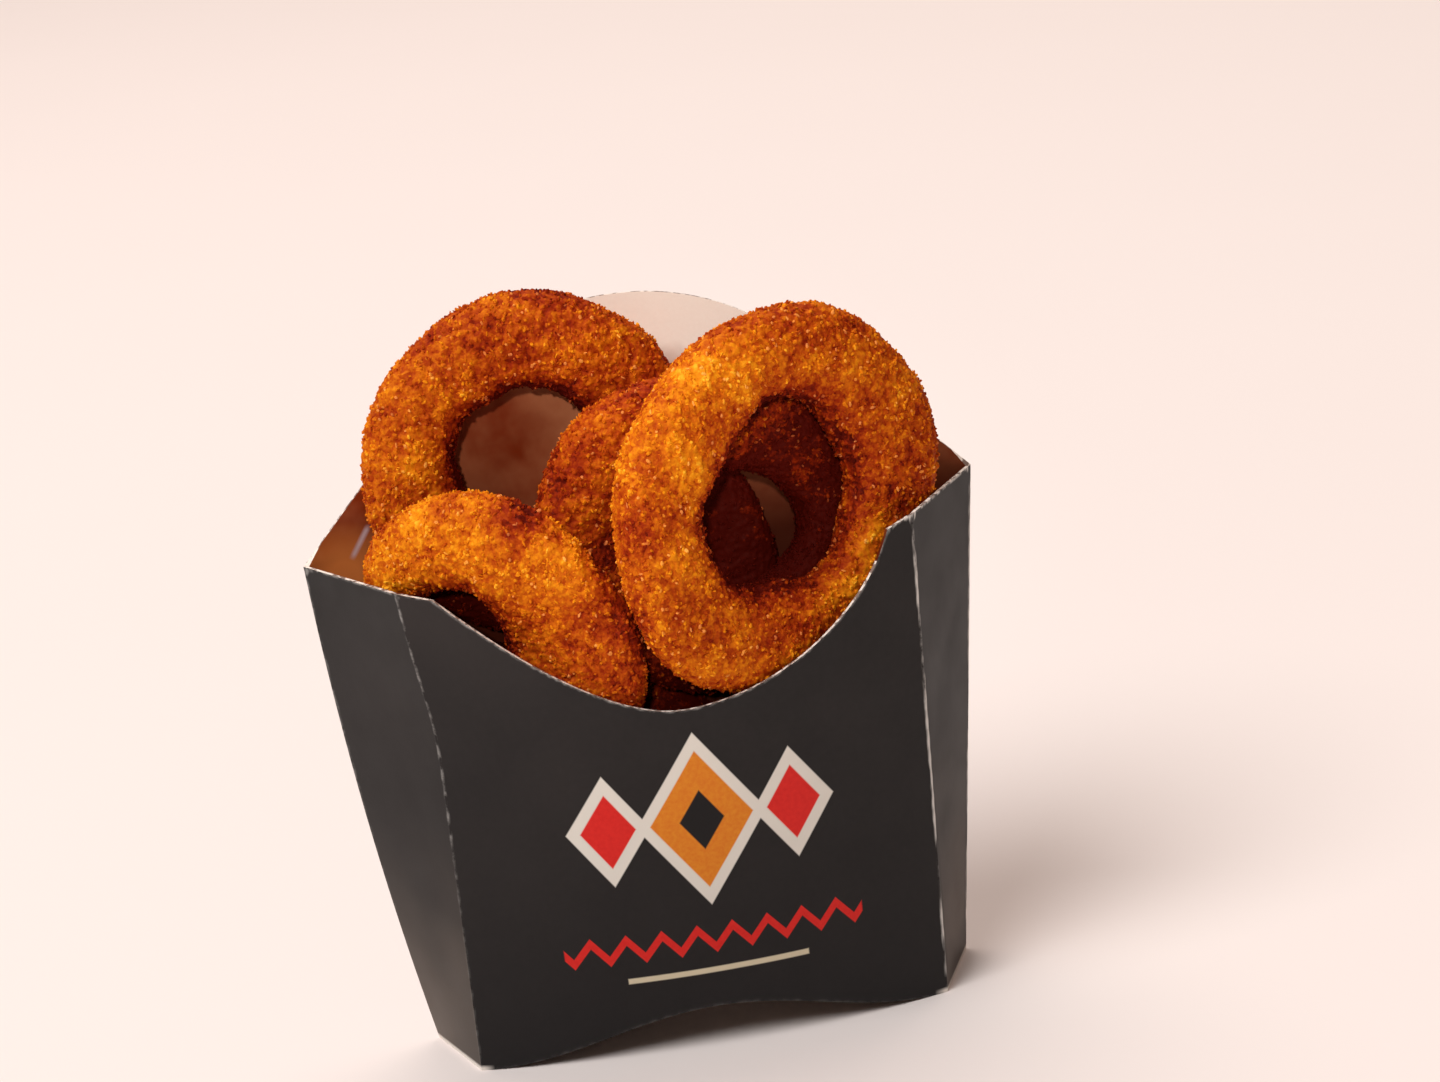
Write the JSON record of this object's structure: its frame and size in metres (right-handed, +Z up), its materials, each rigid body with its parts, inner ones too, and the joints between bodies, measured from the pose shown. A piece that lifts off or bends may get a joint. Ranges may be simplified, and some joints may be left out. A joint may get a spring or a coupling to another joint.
{
  "type": "side of onion rings in a card scoop carton",
  "caption": "Crumbed fried onion rings standing upright in a dark card scoop carton with a low curved front and a tall arched back.",
  "frame": {"origin": "on the floor, under the middle of the whole object's box", "axes": "+Z up, -Y towards the low front of the carton, +X to the right as seen from the front"},
  "size_m": [0.122, 0.045, 0.139],
  "materials": {
    "card": "satin charcoal print outside, bare cream board inside",
    "crust": "matt golden brown fried crumb with small oily glints"
  },
  "bodies": {
    "root": {"carton": "card", "ring_back_left": "crust", "ring_middle": "crust", "ring_behind": "crust", "ring_front_right": "crust", "ring_front_left": "crust", "ring_low_left": "crust", "ring_low_right": "crust"}
  },
  "joints": []
}
